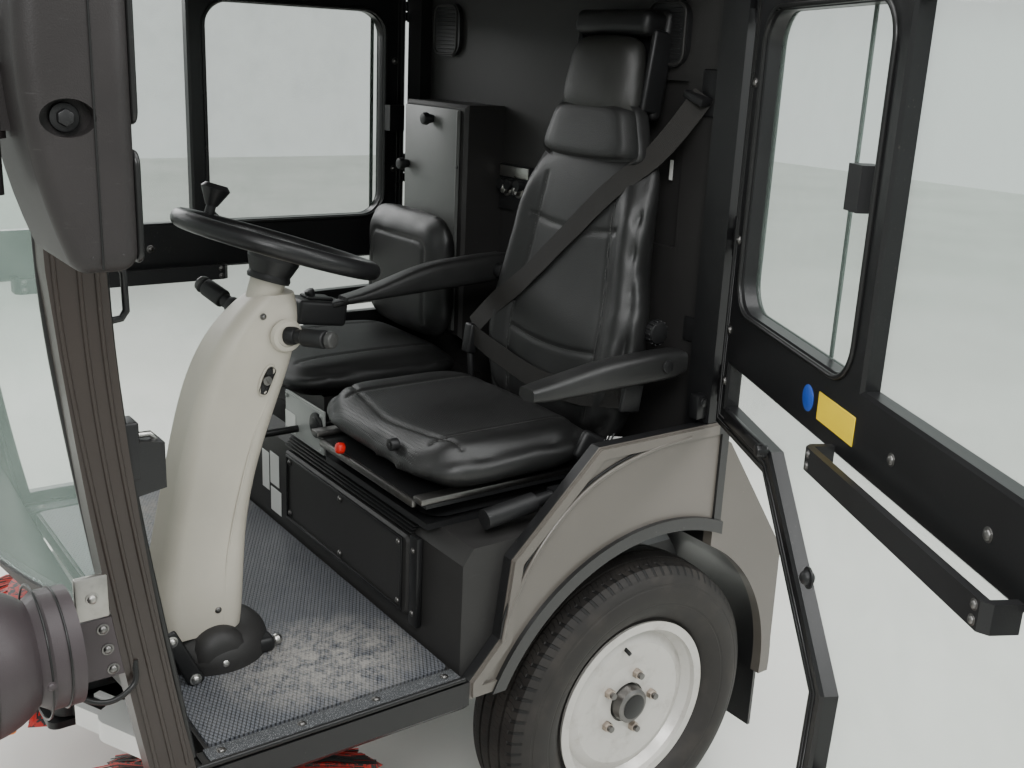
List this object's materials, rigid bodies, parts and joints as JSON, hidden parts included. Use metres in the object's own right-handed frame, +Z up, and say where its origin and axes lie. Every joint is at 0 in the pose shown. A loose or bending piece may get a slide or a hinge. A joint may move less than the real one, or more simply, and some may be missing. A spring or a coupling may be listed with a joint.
{
  "type": "front cab module of a compact road sweeper",
  "caption": "Hollow driver's cab of a small road sweeper on its steered front axle, with opening doors, seats, steering gear, mirrors, lamps and swinging side brooms.",
  "frame": {"origin": "centre of the four bolt holes on the rear face of the frame's flange", "axes": "+X rearwards out of the flange, +Y to the vehicle's right, +Z up"},
  "size_m": [1.797, 2.5517, 1.947],
  "materials": {
    "black_frame": "satin black powder coat",
    "chassis_paint": "semi-gloss black paint",
    "interior_trim": "grained charcoal trim",
    "body_paint": "taupe-grey paint",
    "white_paint": "white paint",
    "mat_rubber": "ribbed rubber",
    "tinted_glass": "green-tinted safety glass",
    "seat_leather": "black artificial leather",
    "seat_rubber": "black rubber bellows",
    "arm_plastic": "soft black moulding",
    "column_plastic": "greige moulded plastic",
    "black_plastic": "black plastic",
    "webbing": "black belt webbing",
    "steel_rim": "light grey wheel lacquer",
    "hub_steel": "machined steel",
    "tyre": "van tyre",
    "bristle": "red and black bristles"
  },
  "bodies": {
    "cab": {"pillars": "black_frame", "door_hardware": "black_frame", "arch_trims": "black_frame", "door_sills": "black_frame", "chassis_frame": "chassis_paint", "front_axle": "chassis_paint", "rear_wall": "interior_trim", "wall_box": "interior_trim", "seat_box": "interior_trim", "seat_box_hatch": "interior_trim", "floor_pan": "interior_trim", "passenger_base": "interior_trim", "column_foot": "interior_trim", "chin_panel": "interior_trim", "wing_left": "body_paint", "wing_right": "body_paint", "mudguards": "body_paint", "roof": "body_paint", "floor_mat": "mat_rubber", "windscreen": "tinted_glass", "seat_cushion": "seat_leather", "seat_back": "seat_leather", "headrest": "seat_leather", "passenger_cushion": "seat_leather", "passenger_back": "seat_leather", "seat_suspension": "seat_rubber", "armrests": "arm_plastic", "steering_column": "column_plastic", "column_stalks": "black_plastic", "hand_controls": "black_plastic", "wall_fittings": "black_plastic", "mirrors": "black_plastic", "headlamps": "black_plastic", "seat_belt": "webbing"},
    "left_door": {"door_left": "black_frame", "door_glass_left": "tinted_glass", "door_fittings_left": "black_plastic"},
    "left_knuckle": {"knuckle_left": "chassis_paint"},
    "left_wheel": {"hub_left": "hub_steel", "rim_left": "steel_rim", "tyre_left": "tyre"},
    "left_swivel": {"broom_swivel_left": "chassis_paint"},
    "left_arm": {"broom_arm_left": "white_paint"},
    "left_broom": {"broom_left": "bristle"},
    "right_door": {"door_right": "black_frame", "door_glass_right": "tinted_glass", "door_fittings_right": "black_plastic"},
    "right_knuckle": {"knuckle_right": "chassis_paint"},
    "right_wheel": {"hub_right": "hub_steel", "rim_right": "steel_rim", "tyre_right": "tyre"},
    "right_swivel": {"broom_swivel_right": "chassis_paint"},
    "right_arm": {"broom_arm_right": "white_paint"},
    "right_broom": {"broom_right": "bristle"},
    "steering": {"steering_wheel": "black_plastic"},
    "track_rod": {"tie_rod": "chassis_paint"}
  },
  "joints": [
    {"name": "left_door_hinge", "type": "hinge", "parent": "cab", "child": "left_door", "pos_m": [-0.36, -0.619, 0.89], "axis": [0, 0, 1], "range_deg": [-62, 18]},
    {"name": "left_steer", "type": "hinge", "parent": "cab", "child": "left_knuckle", "pos_m": [-0.48, -0.43, -0.112], "axis": [0, 0, 1], "range_deg": [-25, 25]},
    {"name": "left_wheel_roll", "type": "hinge", "parent": "left_knuckle", "child": "left_wheel", "pos_m": [-0.48, -0.5, -0.112], "axis": [0, 1, 0], "continuous": true},
    {"name": "left_broom_swing", "type": "hinge", "parent": "cab", "child": "left_swivel", "pos_m": [-1.51, -0.13, 0.01], "axis": [0, 0, -1], "range_deg": [0, 40]},
    {"name": "left_broom_lift", "type": "hinge", "parent": "left_swivel", "child": "left_arm", "pos_m": [-1.47687, -0.19729, 0.01], "axis": [0.8972, 0.4417, 0], "range_deg": [0, 20]},
    {"name": "left_broom_spin", "type": "hinge", "parent": "left_arm", "child": "left_broom", "pos_m": [-1.35, -0.455, -0.058], "axis": [0, 0, 1], "continuous": true},
    {"name": "right_door_hinge", "type": "hinge", "parent": "cab", "child": "right_door", "pos_m": [-0.36, 0.619, 0.89], "axis": [0, 0, -1], "range_deg": [0, 80]},
    {"name": "right_steer", "type": "hinge", "parent": "cab", "child": "right_knuckle", "pos_m": [-0.48, 0.43, -0.112], "axis": [0, 0, 1], "range_deg": [-25, 25]},
    {"name": "right_wheel_roll", "type": "hinge", "parent": "right_knuckle", "child": "right_wheel", "pos_m": [-0.48, 0.5, -0.112], "axis": [0, 1, 0], "continuous": true},
    {"name": "right_broom_swing", "type": "hinge", "parent": "cab", "child": "right_swivel", "pos_m": [-1.51, 0.13, 0.01], "axis": [0, 0, 1], "range_deg": [0, 40]},
    {"name": "right_broom_lift", "type": "hinge", "parent": "right_swivel", "child": "right_arm", "pos_m": [-1.47687, 0.19729, 0.01], "axis": [-0.8972, 0.4417, 0], "range_deg": [0, 20]},
    {"name": "right_broom_spin", "type": "hinge", "parent": "right_arm", "child": "right_broom", "pos_m": [-1.35, 0.455, -0.058], "axis": [0, 0, 1], "continuous": true},
    {"name": "steering_turn", "type": "hinge", "parent": "cab", "child": "steering", "pos_m": [-1.129, -0.25, 0.861], "axis": [0.2924, 0, 0.9563], "range_deg": [-450, 450]},
    {"name": "tie_rod_pivot", "type": "hinge", "parent": "left_knuckle", "child": "track_rod", "pos_m": [-0.375, -0.43, -0.158], "axis": [0, 0, 1], "range_deg": [-25, 25]}
  ],
  "couplings": [
    {"joint": "right_steer", "follows": "left_steer", "ratio": 1},
    {"joint": "steering_turn", "follows": "left_steer", "ratio": 18},
    {"joint": "tie_rod_pivot", "follows": "left_steer", "ratio": -1}
  ]
}
